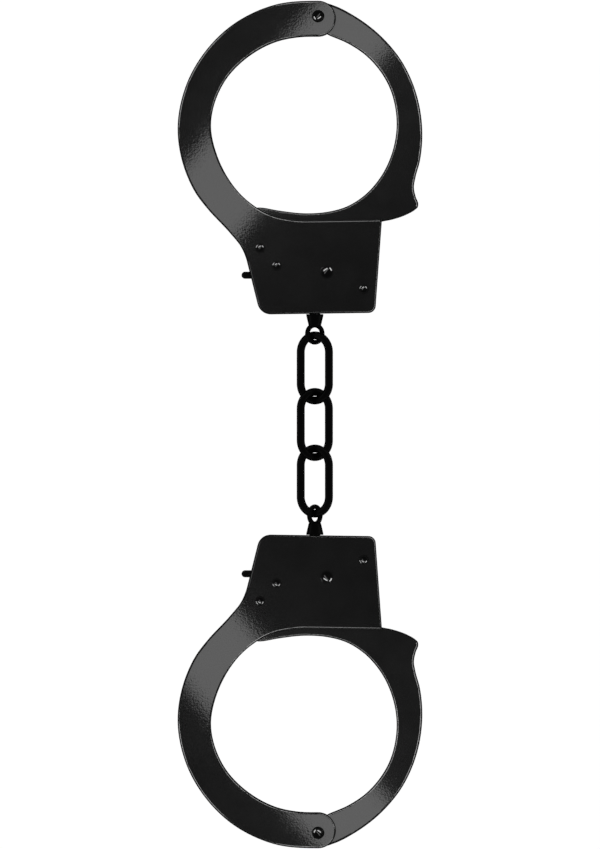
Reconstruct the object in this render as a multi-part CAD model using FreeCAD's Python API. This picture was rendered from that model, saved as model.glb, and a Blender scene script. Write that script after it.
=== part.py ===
import FreeCAD, Part
import math
import os

Vector = FreeCAD.Vector

# Two mirrored cuffs joined by a three-link chain, lying flat.  +Z points away from
# the surface they lie on, Y runs along the chain and cuff A is on the +Y side.
# All coordinates below have the chain's axis at X = 0 and its middle at Y = 0; the
# last step moves everything so that the origin is under the middle of the whole.
CHAIN_X = 4.945         # the chain's axis lies this far right of the overall middle

# Layers of a cuff, upwards from the surface
HEAD_HEIGHT = 1.0       # domed rivet heads, on which the cuffs lie
CHEEK = 1.4             # thickness of a cheek plate
GAP = 4.0               # space between the two cheeks
SIDE_PLAY = 0.2         # play of the arm and the pawl against each cheek
REAR_FACE = HEAD_HEIGHT
REAR_INNER = REAR_FACE + CHEEK
FRONT_INNER = REAR_INNER + GAP
FRONT_FACE = FRONT_INNER + CHEEK
TOP = FRONT_FACE + HEAD_HEIGHT
MIDDLE = TOP / 2

# Edges and fits
CHEEK_ROUNDING = 0.6    # pressed outer edge of a cheek
ARM_ROUNDING = 0.7      # both faces of the arm
HEAD_RIM = 0.2          # upright rim below a rivet's dome
RUNNING = 0.05          # radial clearance of a part that turns on a pin
DRILLED = 0.02          # radial clearance of a rivet in a plate it clamps
FRAME_INSET = 0.3       # lock frame, in from the outer edges of the cheeks
SAME = 1e-4             # two lengths closer than this count as equal

# Rivets of cuff A
HINGE = (1.1, 136.1)
HINGE_SHANK = 1.8
HINGE_HEAD = 2.1
DISH_RADIUS = 1.7       # dish in each hinge head, out to its lip
DISH_DEPTH = 0.6
FRAME_RIVET = (-18.2, 58.8)
PAWL_RIVET = (-12.7, 52.9)
SPRING_RIVET = (16.3, 45.1)
SMALL_SHANK = 1.1
SMALL_HEAD = 1.6
KEY_POST = (4.0, 50.8)
KEY_POST_HEAD = 2.15
KEY_POST_SHANK = 1.6
KEY_POST_PIN = 1.25
KEY_POST_RECESS = 0.3   # end of the post below the rear face
KEY_POST_CHAMFER = 0.25
KEYHOLE = 2.6
KEYHOLE_SLOT = (1.8, 6.4)   # width, and reach from the post's centre

# The arm and its ratchet, as radii about the hinge and angles from straight down
CREST = 71.8
TOOTH_DEPTH = 0.95
TOOTH_PITCH = 1.75      # degrees
FIRST_TOOTH = -13.3     # degrees, steep face nearest the arm's tip
TOOTH_SLOPE = 0.93      # share of the pitch that a tooth's long slope takes
ARM_TEETH = 15
PAWL_TEETH = 3
PAWL_FIRST = 8          # the arm's tooth space that the first pawl tooth sits in
MESH_GAP = 0.1          # between the teeth of the arm and of the pawl
PAWL_ROOT = CREST + 1.0
FRAME_CLEAR = CREST + 1.0

# Swivel, turned about the chain's axis
SWIVEL_HEAD = (1.9, 1.0)    # radius and thickness of the riveted end
SWIVEL_NECK = 1.3
SWIVEL_PLAY = 0.1           # along the chain's axis
CASE_FLOOR = 40.4           # inside of the lock frame's end wall
SHOULDER = (1.85, 37.1)     # radius and end of the step between the cheeks
CONE_TOP = 36.8
CONE_RIM = 0.5              # straight rim above the taper
CONE_RADII = (2.85, 2.05)    # at the rim and at the tip
CONE_TIP = 32.9
EYE_CENTRE = 30.28
EYE_RING = 2.85             # wire centre line
EYE_WIRE = 0.8
EYE_TURN_A = 30.0           # degrees about the chain's axis
EYE_TURN_B = 50.0

# Chain links
LINK_WIRE = 1.34
LINK_LENGTH = 24.4
LINK_WIDTH = 13.9
LINK_SPACING = 18.87
LINK_TILT = 33.0            # degrees, alternately left and right

# Pawl spring
SPRING_WIRE = 0.3
SPRING_BORE = 1.3
SPRING_HEIGHT = 2.8
SPRING_FOOT = (7.5, 43.2)       # end of the leg under the pawl
SPRING_BEND = (12.3, 43.2)
SPRING_TIP = (18.05, 53.0)      # end of the leg along the case wall


def ratchet_point(radius, angle):
    """Point at a radius from the hinge and an angle from straight down."""
    turn = math.radians(angle)
    return (HINGE[0] + radius * math.sin(turn), HINGE[1] - radius * math.cos(turn))


# Outlines.  A leg (x, y) is a straight line to that point, (x, y, r) a line to a
# corner that is rounded to radius r, and a pair of points is an arc via the first.
# A list is a smooth curve through its points, between its first and last number,
# which are the directions in degrees that it leaves and arrives in.
CHEEK_START = (1.1, 141.28)
HINGE_END = (1.1, 129.41)
SHOULDER_END = (-22.6, 54.2)
CASE_CORNER = (-18.22, 36.7)
END_CORNER = (20.14, 37.26)
SIDE_HEADING = math.degrees(math.atan2(CASE_CORNER[1] - SHOULDER_END[1],
                                       CASE_CORNER[0] - SHOULDER_END[0]))
MOUTH_CORNER = (22.38, 68.3)
MOUTH_END = (-2.5, 67.95)
MOUTH_HEADING = 180 + math.degrees(math.atan2(MOUTH_CORNER[1] - MOUTH_END[1],
                                              MOUTH_CORNER[0] - MOUTH_END[0]))
CHEEK_LEGS = [
    [180, (-13.15, 140.0), (-27.15, 133.5), (-42.55, 114.1), (-45.75, 99.0),
     (-42.8, 83.4), (-39.55, 76.85), (-36.25, 72.5), (-28.05, 63.6), (-24.8, 59.55),
     SHOULDER_END, SIDE_HEADING],                                  # outside and shoulder
    (*CASE_CORNER, 4.5),
    (*END_CORNER, 2.4),                     # end with the swivel
    (*MOUTH_CORNER, 0.8),
    MOUTH_END,                              # mouth that the arm passes
    [MOUTH_HEADING, (-7.5, 68.25), (-14.6, 69.85), (-22.9, 75.0), (-32.4, 89.25),
     (-34.65, 99.8), (-29.75, 115.0), (-22.2, 122.7), (-12.35, 127.85), (-5.0, 129.25),
     HINGE_END, 0],                                                # inside of the ring
    ((7.035, 135.345), CHEEK_START),        # round hinge end
]
TIP_RADIUS = 2.6
TIP_ANGLE = -16.6           # degrees from straight down
TIP = ratchet_point(CREST - TIP_RADIUS, TIP_ANGLE)
TOOTHED_END = 14.0          # degrees from straight down
BOSS = 4.9
ARM_START = (HINGE[0], HINGE[1] + BOSS)
ARM_LEGS = [
    ((HINGE[0] - BOSS, HINGE[1]), (HINGE[0], HINGE[1] - BOSS)),    # boss on the hinge
    [0, (5.35, 129.55), (11.05, 127.1), (17.1, 123.05), (24.7, 112.9), (27.3, 99.8),
     (21.8, 82.35), (16.75, 76.6), (10.5, 72.65), (4.0, 70.9), (-3.5, 70.45),
     (-11.95, 71.35), (TIP[0], TIP[1] + TIP_RADIUS), 180],         # inside of the bow
    ((TIP[0] - TIP_RADIUS, TIP[1]), ratchet_point(CREST, TIP_ANGLE)),
    (ratchet_point(CREST, 0), ratchet_point(CREST, TOOTHED_END)),  # toothed edge
    [TOOTHED_END, (22.1, 67.6), (25.8, 68.35), (31.1, 70.25), (33.4, 71.6), (34.35, 72.55),
     (34.5, 73.5), (33.65, 75.95), (33.05, 79.0), (33.55, 82.3), (35.0, 87.65),
     (35.85, 95.5), (32.95, 113.05), (29.25, 120.75), (22.5, 129.1), (12.5, 136.7),
     (6.9, 139.55), ARM_START, 180],                               # tab and outside
]
FRAME_START = (-35.2, 72.0)
FRAME_LEGS = [
    (-27.65, 63.9),
    [-47, (-24.45, 59.5), (SHOULDER_END[0] + FRAME_INSET, SHOULDER_END[1]), SIDE_HEADING],
    (CASE_CORNER[0] + FRAME_INSET, CASE_CORNER[1] + FRAME_INSET, 3.4),
    (END_CORNER[0] - FRAME_INSET, END_CORNER[1] + FRAME_INSET, 2.1),
    (MOUTH_CORNER[0] - FRAME_INSET, 72.0),
]
PAWL_START = (-15.4, 51.5)
PAWL_LEGS = [
    (-9.5, 43.6, 1.5),
    (11.4, 43.6, 1.0),
    (13.0, 47.5, 1.0),
    (13.0, 66.0),
    (-6.0, 66.0),
    (-15.0, 55.0),
]
PAWL_WINDOW = (-3.0, 10.4, 46.2, 57.8)      # room for the key about its post
WINDOW_CORNER = 1.5
PAWL_BOSS = 3.0
STUB_END = (-24.45, 49.8)                   # release stub
STUB_RADIUS = 1.18
STUB_LENGTH = 9.0
STUB_PLAY = 0.1
SLOT_CORNERS = ((-30.0, 48.4), (-14.0, 52.2))   # slot for it in the lock frame
CAVITY_START = (-16.9, 55.0)
CAVITY_LEGS = [
    (-16.9, CASE_FLOOR, 1.2),
    (18.4, CASE_FLOOR, 1.2),
    (18.4, 75.0),
    (-0.5, 75.0),
]


def arc(start, via, end):
    return Part.Arc(start, via, end).toShape()


def heading(angle):
    """Unit vector at an angle from +X."""
    return Vector(math.cos(math.radians(angle)), math.sin(math.radians(angle)))


def smooth_curve(points, leave, arrive):
    """Row of cubic edges through points, tangent to each other.

    At an inner point the slope is that of the parabola through it and its
    neighbours; the ends leave and arrive in the directions given.
    """
    steps = [after - before for before, after in zip(points, points[1:])]
    slopes = [heading(leave)]
    for before, after in zip(steps, steps[1:]):
        ratio = after.Length / before.Length
        slope = before * ratio + after * (1 / ratio)
        slopes.append(slope * (1 / (before.Length + after.Length)))
    slopes.append(heading(arrive))
    edges = []
    for index, step in enumerate(steps):
        third = step.Length / 3
        curve = Part.BezierCurve()
        curve.setPoles([
            points[index],
            points[index] + slopes[index] * third,
            points[index + 1] - slopes[index + 1] * third,
            points[index + 1],
        ])
        edges.append(curve.toShape())
    return edges


def closed_wire(start, legs):
    """Wire from a start point round the legs and back to the start."""
    first = Vector(*start)
    here = first
    edges = []
    for index, leg in enumerate(legs):
        if isinstance(leg, list):
            points = [here] + [Vector(*place) for place in leg[1:-1]]
            edges += smooth_curve(points, leg[0], leg[-1])
            here = points[-1]
            continue
        if isinstance(leg[0], tuple):
            end = Vector(*leg[1])
            edges.append(arc(here, Vector(*leg[0]), end))
            here = end
            continue
        corner = Vector(leg[0], leg[1])
        if len(leg) == 2:
            edges.append(Part.makeLine(here, corner))
            here = corner
            continue
        ahead = Vector(*legs[index + 1][:2])
        to_here = (here - corner).normalize()
        to_ahead = (ahead - corner).normalize()
        half = to_here.getAngle(to_ahead) / 2
        reach = leg[2] / math.tan(half)
        depth = leg[2] / math.sin(half) - leg[2]
        bisector = (to_here + to_ahead).normalize()
        leave = corner + to_here * reach
        rejoin = corner + to_ahead * reach
        edges.append(Part.makeLine(here, leave))
        edges.append(arc(leave, corner + bisector * depth, rejoin))
        here = rejoin
    if here.distanceToPoint(first) > SAME:
        edges.append(Part.makeLine(here, first))
    return Part.Wire(edges)


def slab(wire, low, high):
    """Flat plate of a wire's outline between two heights."""
    plate = Part.Face(wire).extrude(Vector(0, 0, high - low))
    return plate.translated(Vector(0, 0, low))


def pin(place, radius, low, high):
    """Upright cylinder at an (x, y) place."""
    base = Vector(place[0], place[1], low)
    return Part.makeCylinder(radius, high - low, base)


def rounded_edges(plate, radius, height):
    """Plate with the edges of its face at one height rounded."""
    flat = [edge for edge in plate.Edges
            if abs(edge.BoundBox.ZMin - height) < SAME
            and abs(edge.BoundBox.ZMax - height) < SAME]
    return plate.makeFillet(radius, flat)


def turned(profile, axis_point, axis):
    """Solid turned about an axis from a closed profile of edges."""
    return Part.Face(Part.Wire(profile)).revolve(axis_point, axis, 360)


def dome_point(radius, rise, share):
    """Offset of a point part of the way down a shallow dome, from its base centre."""
    ball = (radius ** 2 + rise ** 2) / (2 * rise)
    angle = share * math.asin(radius / ball)
    return ball * math.sin(angle), rise - ball * (1 - math.cos(angle))


def rivet_profile(head, sections, low_head, high_head, rise=HEAD_HEIGHT - HEAD_RIM):
    """Edges of a rivet's half section in the XZ plane.

    sections are (radius, low, high) of the shank, upwards; each dome is optional,
    and rises above an upright rim.
    """
    bottom = sections[0][1]
    top = sections[-1][2]
    via_x, via_z = dome_point(head, rise, 0.5)
    edges = []
    if low_head:
        here = Vector(0, 0, bottom - HEAD_RIM - rise)
        rim = Vector(head, 0, bottom - HEAD_RIM)
        edges.append(arc(here, Vector(via_x, 0, bottom - HEAD_RIM - via_z), rim))
        path = [rim, Vector(head, 0, bottom)]
    else:
        here = Vector(0, 0, bottom)
        path = [here]
    for radius, low, high in sections:
        path += [Vector(radius, 0, low), Vector(radius, 0, high)]
    if high_head:
        path += [Vector(head, 0, top), Vector(head, 0, top + HEAD_RIM)]
        end = Vector(0, 0, top + HEAD_RIM + rise)
    else:
        end = Vector(0, 0, top)
        path.append(end)
    edges += [Part.makeLine(a, b) for a, b in zip(path, path[1:])]
    if high_head:
        edges.append(arc(path[-1], Vector(via_x, 0, top + HEAD_RIM + via_z), end))
    edges.append(Part.makeLine(end, here))
    return edges


def rivet(place, head, shank):
    """Rivet through both cheeks with a domed head on each face."""
    profile = rivet_profile(head, [(shank, REAR_FACE, FRONT_FACE)], True, True)
    return turned(profile, Vector(), Vector(0, 0, 1)).translated(Vector(*place))


def hinge_rivet():
    """Hinge rivet with dished heads, each a dome cut by a ball that leaves its lip."""
    lip = HEAD_HEIGHT - HEAD_RIM
    dome_centre = (DISH_RADIUS ** 2 + lip ** 2 - HINGE_HEAD ** 2) / (2 * lip)
    rise = dome_centre + math.hypot(HINGE_HEAD, dome_centre)
    profile = rivet_profile(HINGE_HEAD, [(HINGE_SHANK, REAR_FACE, FRONT_FACE)], True, True, rise)
    body = turned(profile, Vector(), Vector(0, 0, 1))
    ball = (DISH_RADIUS ** 2 + DISH_DEPTH ** 2) / (2 * DISH_DEPTH)
    offset = ball - DISH_DEPTH
    for height in (-offset, TOP + offset):
        body = body.cut(Part.makeSphere(ball, Vector(0, 0, height)))
    return body.translated(Vector(*HINGE))


def key_post():
    """Post that a tubular key turns on, riveted into the front cheek only."""
    tip = REAR_FACE + KEY_POST_RECESS
    sections = [(KEY_POST_PIN, tip, FRONT_INNER), (KEY_POST_SHANK, FRONT_INNER, FRONT_FACE)]
    profile = rivet_profile(KEY_POST_HEAD, sections, False, True)
    post = turned(profile, Vector(), Vector(0, 0, 1))
    rim = [edge for edge in post.Edges
           if abs(edge.BoundBox.ZMax - tip) < SAME and edge.Length > KEY_POST_PIN]
    return post.makeChamfer(KEY_POST_CHAMFER, rim).translated(Vector(*KEY_POST))


def cheek(low, high, outer_face):
    """Cheek plate: half ring, hinge end and lock case side, with its rivet holes."""
    plate = slab(closed_wire(CHEEK_START, CHEEK_LEGS), low, high)
    plate = rounded_edges(plate, CHEEK_ROUNDING, outer_face)
    plate = plate.cut(pin(HINGE, HINGE_SHANK + DRILLED, low, high))
    for place in (FRAME_RIVET, PAWL_RIVET, SPRING_RIVET):
        plate = plate.cut(pin(place, SMALL_SHANK + DRILLED, low, high))
    return plate


def front_cheek():
    plate = cheek(FRONT_INNER, FRONT_FACE, FRONT_FACE)
    return plate.cut(pin(KEY_POST, KEY_POST_SHANK + DRILLED, FRONT_INNER, FRONT_FACE))


def rear_cheek():
    """Rear cheek, with the keyhole: a round hole and a slot for the key's bit."""
    plate = cheek(REAR_FACE, REAR_INNER, REAR_FACE)
    width, reach = KEYHOLE_SLOT
    corner = Vector(KEY_POST[0] - width / 2, KEY_POST[1], REAR_FACE)
    slot = Part.makeBox(width, reach, CHEEK, corner)
    return plate.cut(pin(KEY_POST, KEYHOLE, REAR_FACE, REAR_INNER)).cut(slot)


def sawteeth(first, count, inner, outer, low, high):
    """Row of sawteeth about the hinge, steep on the side that locks.

    They start at the angle first; inner and outer are the radii at the two ends of
    a tooth's slope.
    """
    beyond = outer + TOOTH_DEPTH
    teeth = []
    for tooth in range(count):
        steep = first + tooth * TOOTH_PITCH
        shallow = steep + TOOTH_PITCH * TOOTH_SLOPE
        corners = [
            ratchet_point(inner, steep),
            ratchet_point(outer, shallow),
            ratchet_point(beyond, shallow),
            ratchet_point(beyond, steep),
        ]
        teeth.append(slab(closed_wire(corners[0], corners[1:]), low, high))
    return teeth


def swing_arm():
    """Single bow that passes between the cheeks, with a finger tab and a ratchet."""
    low = REAR_INNER + SIDE_PLAY
    high = FRONT_INNER - SIDE_PLAY
    arm = slab(closed_wire(ARM_START, ARM_LEGS), low, high)
    arm = rounded_edges(rounded_edges(arm, ARM_ROUNDING, low), ARM_ROUNDING, high)
    arm = arm.cut(pin(HINGE, HINGE_SHANK + RUNNING, low, high))
    return arm.cut(sawteeth(FIRST_TOOTH, ARM_TEETH, CREST - TOOTH_DEPTH, CREST, low, high))


def lock_frame():
    """Spacer round the lock case, just inside the cheeks and clear of the arm."""
    frame = slab(closed_wire(FRAME_START, FRAME_LEGS), REAR_INNER, FRONT_INNER)
    frame = frame.cut(pin(HINGE, FRAME_CLEAR, REAR_INNER, FRONT_INNER))
    frame = frame.cut(slab(closed_wire(CAVITY_START, CAVITY_LEGS), REAR_INNER, FRONT_INNER))
    frame = frame.cut(pin(FRAME_RIVET, SMALL_SHANK + DRILLED, REAR_INNER, FRONT_INNER))
    floor = MIDDLE - STUB_RADIUS - STUB_PLAY
    (left, near), (right, far) = SLOT_CORNERS
    slot = Part.makeBox(right - left, far - near, FRONT_INNER - floor,
                        Vector(left, near, floor))
    wall = CASE_FLOOR - CONE_TOP
    bore = Part.makeCylinder(SWIVEL_NECK + RUNNING, wall, Vector(0, CONE_TOP, MIDDLE),
                             Vector(0, 1, 0))
    return frame.cut(slot).cut(bore)


def pawl():
    """Toothed bar about its rivet, with a window for the key and a release stub."""
    low = REAR_INNER + SIDE_PLAY
    high = FRONT_INNER - SIDE_PLAY
    bar = slab(closed_wire(PAWL_START, PAWL_LEGS), low, high)
    bar = bar.cut(pin(HINGE, PAWL_ROOT, low, high))
    left, right, floor, roof = PAWL_WINDOW
    window = Part.makeBox(right - left, roof - floor, GAP, Vector(left, floor, REAR_INNER))
    upright = [edge for edge in window.Edges if edge.BoundBox.ZLength > GAP / 2]
    bar = bar.cut(window.makeFillet(WINDOW_CORNER, upright))
    first = FIRST_TOOTH + PAWL_FIRST * TOOTH_PITCH + math.degrees(MESH_GAP / CREST)
    tips = CREST - TOOTH_DEPTH + MESH_GAP
    bar = bar.fuse(sawteeth(first, PAWL_TEETH, tips, PAWL_ROOT, low, high))
    bar = bar.fuse(pin(PAWL_RIVET, PAWL_BOSS, low, high))
    ball = Vector(STUB_END[0] + STUB_RADIUS, STUB_END[1], MIDDLE)
    stub = Part.makeCylinder(STUB_RADIUS, STUB_LENGTH, ball, Vector(1, 0, 0))
    bar = bar.fuse([stub, Part.makeSphere(STUB_RADIUS, ball)])
    return bar.cut(pin(PAWL_RIVET, SMALL_SHANK + RUNNING, low, high)).removeSplitter()


def rod(start, end):
    """Straight piece of the spring's wire with a round end."""
    run = end - start
    straight = Part.makeCylinder(SPRING_WIRE, run.Length, start, run)
    return straight.fuse(Part.makeSphere(SPRING_WIRE, end))


def pawl_spring():
    """Torsion spring on its rivet: one leg under the pawl, one along the case wall."""
    coil_radius = SPRING_BORE + SPRING_WIRE
    low = MIDDLE - SPRING_HEIGHT / 2
    high = MIDDLE + SPRING_HEIGHT / 2
    coil = pin(SPRING_RIVET, SPRING_BORE + 2 * SPRING_WIRE, low, high)
    coil = coil.cut(pin(SPRING_RIVET, SPRING_BORE, low, high))
    x, y = SPRING_RIVET
    bend = Vector(*SPRING_BEND, MIDDLE)
    legs = [
        rod(Vector(x, y - coil_radius, MIDDLE), bend),
        rod(bend, Vector(*SPRING_FOOT, MIDDLE)),
        rod(Vector(x + coil_radius, y, MIDDLE), Vector(*SPRING_TIP, MIDDLE)),
    ]
    return coil.fuse(legs).removeSplitter()


def swivel(turn):
    """Swivel: riveted head inside the case, neck, cone and the eye for the chain."""
    head, head_thick = SWIVEL_HEAD
    head_low = CASE_FLOOR + SWIVEL_PLAY
    rim_radius, tip_radius = CONE_RADII
    profile = [
        (0, head_low + head_thick),
        (head, head_low + head_thick),
        (head, head_low),
        (SWIVEL_NECK, head_low),
        (SWIVEL_NECK, SHOULDER[1]),
        SHOULDER,
        (SHOULDER[0], CONE_TOP),
        (rim_radius, CONE_TOP),
        (rim_radius, CONE_TOP - CONE_RIM),
        (tip_radius, CONE_TIP),
        (0, CONE_TIP),
    ]
    outline = closed_wire(profile[0], profile[1:])
    body = turned(outline.Edges, Vector(), Vector(0, 1, 0))
    body = body.translated(Vector(0, 0, MIDDLE))
    eye_place = Vector(0, EYE_CENTRE, MIDDLE)
    bore_start = eye_place - Vector(0, 0, rim_radius)
    body = body.cut(Part.makeCylinder(EYE_RING, 2 * rim_radius, bore_start))
    eye = Part.makeTorus(EYE_RING, EYE_WIRE, eye_place, Vector(0, 0, 1))
    whole = body.fuse(eye).removeSplitter()
    whole.rotate(eye_place, Vector(0, 1, 0), turn)
    return whole


def chain_link(centre_y, tilt):
    """Oval link of round wire, turned about the chain's axis."""
    bend = LINK_WIDTH / 2 - LINK_WIRE
    side = LINK_LENGTH / 2 - LINK_WIDTH / 2
    pieces = []
    for sign in (1, -1):
        start = Vector(sign * bend, -side, 0)
        pieces.append(Part.makeCylinder(LINK_WIRE, 2 * side, start, Vector(0, 1, 0)))
        ring = Part.makeTorus(bend, LINK_WIRE, Vector(0, sign * side, 0), Vector(0, 0, 1))
        half = Vector(-LINK_WIDTH, 0 if sign > 0 else -2 * LINK_WIDTH, -LINK_WIRE * 2)
        box = Part.makeBox(2 * LINK_WIDTH, 2 * LINK_WIDTH, 4 * LINK_WIRE, half)
        pieces.append(ring.common(box.translated(Vector(0, sign * side, 0))))
    link = pieces[0].fuse(pieces[1:]).removeSplitter()
    link.rotate(Vector(), Vector(0, 1, 0), -tilt)
    return link.translated(Vector(0, centre_y, MIDDLE))


def mirrored(shape):
    """The same piece on the other side of the chain's middle."""
    return shape.mirror(Vector(), Vector(0, 1, 0))


def cuff_pieces():
    return {
        "front_cheek": front_cheek(),
        "rear_cheek": rear_cheek(),
        "swing_arm": swing_arm(),
        "hinge_rivet": hinge_rivet(),
        "lock_frame": lock_frame(),
        "frame_rivet": rivet(FRAME_RIVET, SMALL_HEAD, SMALL_SHANK),
        "pawl_rivet": rivet(PAWL_RIVET, SMALL_HEAD, SMALL_SHANK),
        "spring_rivet": rivet(SPRING_RIVET, SMALL_HEAD, SMALL_SHANK),
        "key_post": key_post(),
        "pawl": pawl(),
        "pawl_spring": pawl_spring(),
    }


def all_pieces():
    pieces = {}
    for name, shape in cuff_pieces().items():
        pieces[name + "_a"] = shape
        pieces[name + "_b"] = mirrored(shape)
    pieces["swivel_a"] = swivel(EYE_TURN_A)
    pieces["swivel_b"] = mirrored(swivel(EYE_TURN_B))
    for number, place in enumerate((1, 0, -1)):
        tilt = LINK_TILT if place else -LINK_TILT
        pieces["chain_link_%d" % (number + 1)] = chain_link(place * LINK_SPACING, tilt)
    return pieces


os.makedirs("parts", exist_ok=True)
for name, shape in all_pieces().items():
    shape.translated(Vector(CHAIN_X, 0, 0)).exportStep("parts/%s.step" % name)
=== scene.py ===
import math

import bpy
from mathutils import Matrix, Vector


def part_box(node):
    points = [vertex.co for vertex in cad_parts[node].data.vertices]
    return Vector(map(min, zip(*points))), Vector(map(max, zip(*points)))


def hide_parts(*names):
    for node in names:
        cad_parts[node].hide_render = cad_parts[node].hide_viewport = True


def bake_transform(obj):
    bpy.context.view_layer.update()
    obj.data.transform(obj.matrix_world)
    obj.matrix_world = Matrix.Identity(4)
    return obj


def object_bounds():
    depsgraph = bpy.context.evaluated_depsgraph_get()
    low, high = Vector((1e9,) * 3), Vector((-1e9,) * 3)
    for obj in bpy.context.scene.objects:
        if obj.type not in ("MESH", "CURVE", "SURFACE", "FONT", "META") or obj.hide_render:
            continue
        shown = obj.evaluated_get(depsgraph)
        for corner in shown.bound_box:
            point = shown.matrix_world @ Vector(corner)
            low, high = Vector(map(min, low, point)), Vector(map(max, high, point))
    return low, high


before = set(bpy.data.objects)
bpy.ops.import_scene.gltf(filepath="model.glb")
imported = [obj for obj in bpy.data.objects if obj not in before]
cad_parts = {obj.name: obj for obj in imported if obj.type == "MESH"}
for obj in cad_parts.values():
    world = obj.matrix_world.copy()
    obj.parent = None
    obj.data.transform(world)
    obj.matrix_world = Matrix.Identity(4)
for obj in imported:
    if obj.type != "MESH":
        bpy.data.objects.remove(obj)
cad_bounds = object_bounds()

# Everything is in metres, in the frame of the CAD model: the cuffs lie flat in XY,
# cuff A on the +Y side and cuff B its mirror image on the -Y side.
MM = 0.001
CUFFS = {"a": 1, "b": -1}       # letter of a cuff, and its side of the chain's middle

# Camera, straight above the middle of the cuffs
CAMERA_RISE = 4.0               # above the cuffs' front face
FRAME_MARGIN = 1.0015           # picture height over the length of the handcuffs
SENSOR = 36.0                   # sensor's long side, mm

# Studio
FLOOR_SIZE = 12.0
CUFF_MIDDLE = 0.09              # centre of a cuff's lights, from the chain's middle
STRIP_RISE = 0.2                # height of a cuff's strip light
STRIP_LENGTH = 0.30
STRIP_SLIDE = 0.07              # its centre along it, from the foot of the perpendicular
STRIP_RADIANCE = 2.45
STRIP_ANGLE = 51.0              # degrees from +X on cuff A
STRIP_BAND = (0.0556, 0.0841)   # edges of its reflection, from the middle, across it

# Window panes over each cuff, by what they light.  Each is its azimuth from the chain's
# line and its tilt from vertical, then width, height, roll and radiance; angles are in
# degrees.
PANE_DISTANCE = 0.55            # from the middle of the cuff
PANES = {
    "rivets": [
        (-29, 33, 0.55, 0.12, 5, 12.0),
        (56, 60, 0.36, 0.13, 0, 12.0),
        (-62, 83, 0.45, 0.10, 0, 12.0),
    ],
    "cheeks": [
        (-63, 33, 0.27, 0.12, 0, 9.0),
        (137, 33, 0.48, 0.12, 0, 9.0),
        (20, 33, 0.38, 0.12, 0, 8.0),
    ],
    "arms": [
        (-45, 33, 0.95, 0.12, 0, 7.0),
        (-125, 33, 0.77, 0.12, 0, 9.0),
        (85, 33, 0.42, 0.12, 0, 9.0),
    ],
}
LIT_PIECES = {                  # the strip lights all of these
    "rivets": ("hinge_rivet", "frame_rivet", "pawl_rivet", "spring_rivet", "key_post"),
    "cheeks": ("front_cheek", "rear_cheek"),
    "arms": ("swing_arm",),
}

FILM_ROUGHNESS = 0.28           # of the dull film over a coating


def add_node(tree, kind, inputs=None, **settings):
    """New shader node with its inputs set to values or linked to sockets."""
    made = tree.nodes.new(kind)
    for name, value in settings.items():
        setattr(made, name, value)
    for key, value in (inputs or {}).items():
        if isinstance(value, bpy.types.NodeSocket):
            tree.links.new(value, made.inputs[key])
        else:
            made.inputs[key].default_value = value
    return made


def grain(tree, size, detail=2.0, seed=0.0):
    """Noise that sticks to the piece, with grains of about the given size."""
    place = add_node(tree, "ShaderNodeTexCoord").outputs["Object"]
    moved = add_node(tree, "ShaderNodeVectorMath", {0: place, 1: (seed, seed, seed)})
    return add_node(tree, "ShaderNodeTexNoise", {
        "Vector": moved.outputs[0], "Scale": 1 / size, "Detail": detail, "Roughness": 0.55,
    }).outputs["Fac"]


def remap(tree, value, low, high, to_low, to_high):
    """Value taken from one range to another and held there."""
    return add_node(tree, "ShaderNodeMapRange", {
        "Value": value, "From Min": low, "From Max": high,
        "To Min": to_low, "To Max": to_high,
    }).outputs["Result"]


def edge_highlight_mask(tree, radius):
    """1 along the piece's edges, where a highlight is painted and the coating is rubbed
    thin, and 0 on its faces.
    """
    rounded = add_node(tree, "ShaderNodeBevel", {"Radius": radius}, samples=6)
    true_normal = add_node(tree, "ShaderNodeNewGeometry").outputs["Normal"]
    same = add_node(tree, "ShaderNodeVectorMath", {
        0: rounded.outputs["Normal"], 1: true_normal}, operation="DOT_PRODUCT")
    return remap(tree, same.outputs["Value"], 0.99, 0.90, 0.0, 1.0)


def blend_colours(tree, share, first, second):
    mix = add_node(tree, "ShaderNodeMix", {0: share, 6: first, 7: second}, data_type="RGBA")
    return mix.outputs[2]


def grey(value):
    return (value, value, value, 1.0)


def multiply(tree, first, second):
    return add_node(tree, "ShaderNodeMath", {0: first, 1: second},
                    operation="MULTIPLY").outputs[0]


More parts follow.
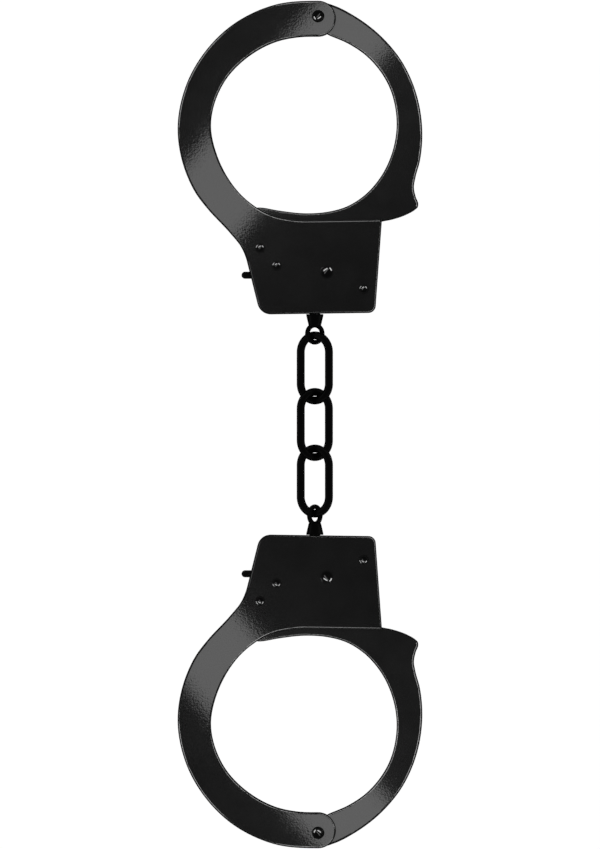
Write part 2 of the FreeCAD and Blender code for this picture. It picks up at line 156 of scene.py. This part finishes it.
def coated_metal(name, dark, light, edge_highlight_and_wear, gloss, grain_size, grain_height,
                 edge=0.25 * MM, reflectance=0.5, haze=0.0):
    """Black coating over steel: cloudy tone, fine grain, and lighter edges, a painted
    highlight along them where the coating is also rubbed thin.

    dark and light are the tone's ends, and the tone after them is the lighter one painted
    along the edges, as a painted highlight and as coating rubbed thin.  gloss is the lowest
    and highest roughness, and haze the weight of a dull film on top.
    """
    material = bpy.data.materials.new(name)
    material.use_nodes = True
    tree = material.node_tree
    shader = tree.nodes["Principled BSDF"]
    clouds = grain(tree, 9 * MM, 4.0, 0.3)
    specks = grain(tree, grain_size, 2.0, 0.7)
    scuffs_and_highlight_patches = grain(tree, 2.2 * MM, 5.0, 1.9)
    tone = blend_colours(tree, remap(tree, clouds, 0.35, 0.65, 0.0, 1.0),
                         grey(dark), grey(light))
    # Lighter edges in patches: a painted highlight along the edges, standing also for
    # coating rubbed thin
    edge_highlight_and_wear_share = multiply(tree, edge_highlight_mask(tree, edge),
                      remap(tree, scuffs_and_highlight_patches, 0.55, 0.70, 0.0, 1.0))
    colour = blend_colours(tree, edge_highlight_and_wear_share, tone, grey(edge_highlight_and_wear))
    smear = multiply(tree, remap(tree, clouds, 0.3, 0.7, 0.75, 1.0),
                     remap(tree, scuffs_and_highlight_patches, 0.3, 0.7, gloss[0], gloss[1]))
    relief = add_node(tree, "ShaderNodeBump", {
        "Strength": 1.0, "Distance": grain_height, "Height": specks})
    tree.links.new(colour, shader.inputs["Base Color"])
    tree.links.new(smear, shader.inputs["Roughness"])
    tree.links.new(relief.outputs["Normal"], shader.inputs["Normal"])
    shader.inputs["Specular IOR Level"].default_value = reflectance
    shader.inputs["Coat Weight"].default_value = haze
    shader.inputs["Coat Roughness"].default_value = FILM_ROUGHNESS
    return material


def spring_wire(name):
    """Drawn spring steel: bright, with fine lines along the wire."""
    material = bpy.data.materials.new(name)
    material.use_nodes = True
    tree = material.node_tree
    shader = tree.nodes["Principled BSDF"]
    drawn = grain(tree, 0.15 * MM, 3.0)
    stain = grain(tree, 1.5 * MM, 3.0, 0.4)
    colour = blend_colours(tree, remap(tree, stain, 0.35, 0.65, 0.0, 1.0),
                           grey(0.22), grey(0.34))
    relief = add_node(tree, "ShaderNodeBump", {
        "Strength": 1.0, "Distance": 0.004 * MM, "Height": drawn})
    tree.links.new(colour, shader.inputs["Base Color"])
    tree.links.new(remap(tree, drawn, 0.3, 0.7, 0.22, 0.38), shader.inputs["Roughness"])
    tree.links.new(relief.outputs["Normal"], shader.inputs["Normal"])
    shader.inputs["Metallic"].default_value = 1.0
    return material


def make_materials():
    """The finish of each material slot of the record."""
    # Each coating's third tone is painted along its edges: a painted highlight, and coating
    # rubbed thin
    plate = dict(dark=0.0025, light=0.004, edge_highlight_and_wear=0.02, gloss=(0.045, 0.065),
                 grain_size=0.6 * MM, grain_height=0.0095 * MM, haze=0.17)
    return {
        "cheeks": coated_metal("cheek_coating", **plate),
        "arms": coated_metal("arm_coating", **plate),
        "frames": coated_metal("frame_coating", 0.003, 0.006, 0.03, (0.25, 0.35),
                               0.5 * MM, 0.008 * MM),
        # The rivets' black is made darker than the plates' same coating: painted shade on
        # the domes
        "rivets": coated_metal("rivet_coating", 0.0005, 0.001, 0.01, (0.10, 0.16),
                               0.4 * MM, 0.004 * MM, reflectance=0.6),
        "swivels": coated_metal("swivel_coating", 0.004, 0.008, 0.02, (0.22, 0.34),
                                0.5 * MM, 0.010 * MM, reflectance=0.4),
        "chain": coated_metal("chain_coating", 0.004, 0.008, 0.02, (0.24, 0.36),
                              0.5 * MM, 0.010 * MM, reflectance=0.4),
        "lock_steel": coated_metal("lock_oxide", 0.006, 0.012, 0.06, (0.25, 0.4),
                                   0.3 * MM, 0.008 * MM),
        "spring_steel": spring_wire("spring_wire"),
    }


def finish_cad_nodes(materials):
    """Gives every carried-over CAD node the finish of its own slot."""
    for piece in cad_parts.values():
        for holder in piece.material_slots:
            holder.material = materials[holder.material.name.split(".")[0]]


# Wound torsion spring of each pawl
WIRE = 0.3 * MM                 # radius
COIL_TURNS = 4.25
COIL_RADIUS = 1.6 * MM
COIL_PITCH = 0.62 * MM
STEPS_PER_TURN = 24


def spring_route(letter):
    """Centre line of a pawl spring: foot, coil about its rivet, and back leg."""
    side = CUFFS[letter]
    low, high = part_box("pawl_spring_" + letter)
    rivet_low, rivet_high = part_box("spring_rivet_" + letter)
    axis = (rivet_low + rivet_high) / 2
    near, far = (low.y, high.y) if side > 0 else (high.y, low.y)
    rise = COIL_PITCH * COIL_TURNS
    foot_z = axis.z - rise / 2
    foot_y = near + side * WIRE
    route = [
        Vector((low.x + WIRE, foot_y, foot_z)),
        Vector((axis.x - 4 * MM, foot_y, foot_z)),
    ]
    steps = round(COIL_TURNS * STEPS_PER_TURN)
    for step in range(steps + 1):
        share = step / steps
        turn = math.radians(-90 + 360 * COIL_TURNS * share)
        route.append(Vector((
            axis.x + COIL_RADIUS * math.cos(turn),
            axis.y + side * COIL_RADIUS * math.sin(turn),
            foot_z + rise * share,
        )))
    route.append(Vector((high.x - WIRE, far - side * WIRE, foot_z + rise)))
    return route


def wire_mesh(name, route, radius):
    """Mesh tube along a route."""
    curve = bpy.data.curves.new(name + "_line", "CURVE")
    curve.dimensions = "3D"
    curve.bevel_depth = radius
    curve.bevel_resolution = 5
    curve.use_fill_caps = True
    line = curve.splines.new("POLY")
    line.points.add(len(route) - 1)
    for point, place in zip(line.points, route):
        point.co = (*place, 1.0)
    holder = bpy.data.objects.new(name + "_line", curve)
    bpy.context.scene.collection.objects.link(holder)
    bpy.context.view_layer.update()
    mesh = bpy.data.meshes.new_from_object(holder.evaluated_get(
        bpy.context.evaluated_depsgraph_get()))
    bpy.data.objects.remove(holder)
    piece = bpy.data.objects.new(name, mesh)
    bpy.context.scene.collection.objects.link(piece)
    mesh.shade_smooth()
    return piece


def add_springs(material):
    for letter in CUFFS:
        route = spring_route(letter)
        piece = wire_mesh("wound_spring_" + letter, route, WIRE)
        piece.data.materials.append(material)
        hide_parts("pawl_spring_" + letter)
        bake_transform(piece)


def add_floor():
    """White light table, so bright that the cuffs leave no shadow on it."""
    mesh = bpy.data.meshes.new("floor")
    half = FLOOR_SIZE / 2
    corners = [(-half, -half, 0), (half, -half, 0), (half, half, 0), (-half, half, 0)]
    mesh.from_pydata(corners, [], [(0, 1, 2, 3)])
    floor = bpy.data.objects.new("floor", mesh)
    bpy.context.scene.collection.objects.link(floor)
    material = bpy.data.materials.new("floor")
    material.use_nodes = True
    shader = material.node_tree.nodes["Principled BSDF"]
    shader.inputs["Base Color"].default_value = grey(0.35)
    shader.inputs["Roughness"].default_value = 0.9
    shader.inputs["Specular IOR Level"].default_value = 0.1
    shader.inputs["Emission Color"].default_value = grey(1.0)
    shader.inputs["Emission Strength"].default_value = 1.0
    mesh.materials.append(material)
    floor.visible_glossy = False


def add_sky():
    """Dark studio ceiling over grey walls, and black below the light table."""
    world = bpy.data.worlds.new("studio")
    bpy.context.scene.world = world
    world.use_nodes = True
    tree = world.node_tree
    direction = add_node(tree, "ShaderNodeTexCoord").outputs["Generated"]
    height = add_node(tree, "ShaderNodeSeparateXYZ", {0: direction}).outputs["Z"]
    wall = multiply(tree, remap(tree, height, 0.5, 0.1, 0.05, 0.15),
                    remap(tree, height, 0.0, 0.05, 0.0, 1.0))
    tree.links.new(wall, tree.nodes["Background"].inputs["Strength"])
    tree.nodes["Background"].inputs["Color"].default_value = grey(1.0)


def softbox(name, place, target, size, radiance, roll=0.0):
    """Rectangular area light at a place, facing a target, unseen by the camera."""
    lamp = bpy.data.lights.new(name, "AREA")
    lamp.shape = "RECTANGLE"
    lamp.size, lamp.size_y = size
    lamp.energy = radiance * math.pi * size[0] * size[1]
    box = bpy.data.objects.new(name, lamp)
    bpy.context.scene.collection.objects.link(box)
    facing = (Vector(target) - Vector(place)).to_track_quat("-Z", "Y")
    box.rotation_euler = facing.to_euler()
    box.rotation_euler.rotate_axis("Z", roll)
    box.location = place
    box.visible_camera = False
    return box


def light_only(box, pieces):
    """Limits a light to some pieces."""
    receivers = bpy.data.collections.new(box.name + "_receivers")
    for piece in pieces:
        receivers.objects.link(piece)
    box.light_linking.receiver_collection = receivers


def add_lights():
    """A strip light and window panes over each cuff, mirrored like the cuffs.

    The strip makes the broad bright bands and the panes the glints along the edges.
    """
    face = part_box("front_cheek_a")[1].z
    mirror_gain = 1 + (STRIP_RISE - face) / CAMERA_RISE
    inner, outer = (edge * mirror_gain for edge in STRIP_BAND)
    angle = math.radians(STRIP_ANGLE)
    across = (inner + outer) / 2
    for letter, side in CUFFS.items():
        lit = {group: [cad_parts[name + "_" + letter] for name in names]
               for group, names in LIT_PIECES.items()}
        x = -across * math.sin(angle) + STRIP_SLIDE * math.cos(angle)
        y = across * math.cos(angle) + STRIP_SLIDE * math.sin(angle)
        strip = softbox("strip_" + letter, (x, side * y, STRIP_RISE), (x, side * y, 0),
                        (STRIP_LENGTH, outer - inner), STRIP_RADIANCE, side * angle)
        light_only(strip, sum(lit.values(), []))
        centre = Vector((0, side * CUFF_MIDDLE, face))
        for group, panes in PANES.items():
            for number, (azimuth, tilt, wide, tall, roll, radiance) in enumerate(panes):
                turn = math.radians(azimuth)
                lean = math.radians(tilt)
                way = Vector((math.sin(turn) * math.sin(lean),
                              side * math.cos(turn) * math.sin(lean), math.cos(lean)))
                pane = softbox("%s_pane_%s_%d" % (group, letter, number + 1),
                               centre + way * PANE_DISTANCE, centre, (wide, tall), radiance,
                               side * math.radians(roll))
                light_only(pane, lit[group])


def add_camera():
    """Long lens straight above the middle, framed on the handcuffs' length."""
    low, high = cad_bounds
    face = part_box("front_cheek_a")[1].z
    lens = bpy.data.cameras.new("camera")
    lens.sensor_width = SENSOR
    lens.lens = SENSOR * CAMERA_RISE / ((high.y - low.y) * FRAME_MARGIN)
    camera = bpy.data.objects.new("camera", lens)
    bpy.context.scene.collection.objects.link(camera)
    middle = (low + high) / 2
    camera.location = (middle.x, middle.y, face + CAMERA_RISE)
    bpy.context.scene.camera = camera


materials = make_materials()
finish_cad_nodes(materials)
add_springs(materials["spring_steel"])
add_floor()
add_sky()
add_lights()
add_camera()
bpy.context.scene.view_settings.view_transform = "Standard"
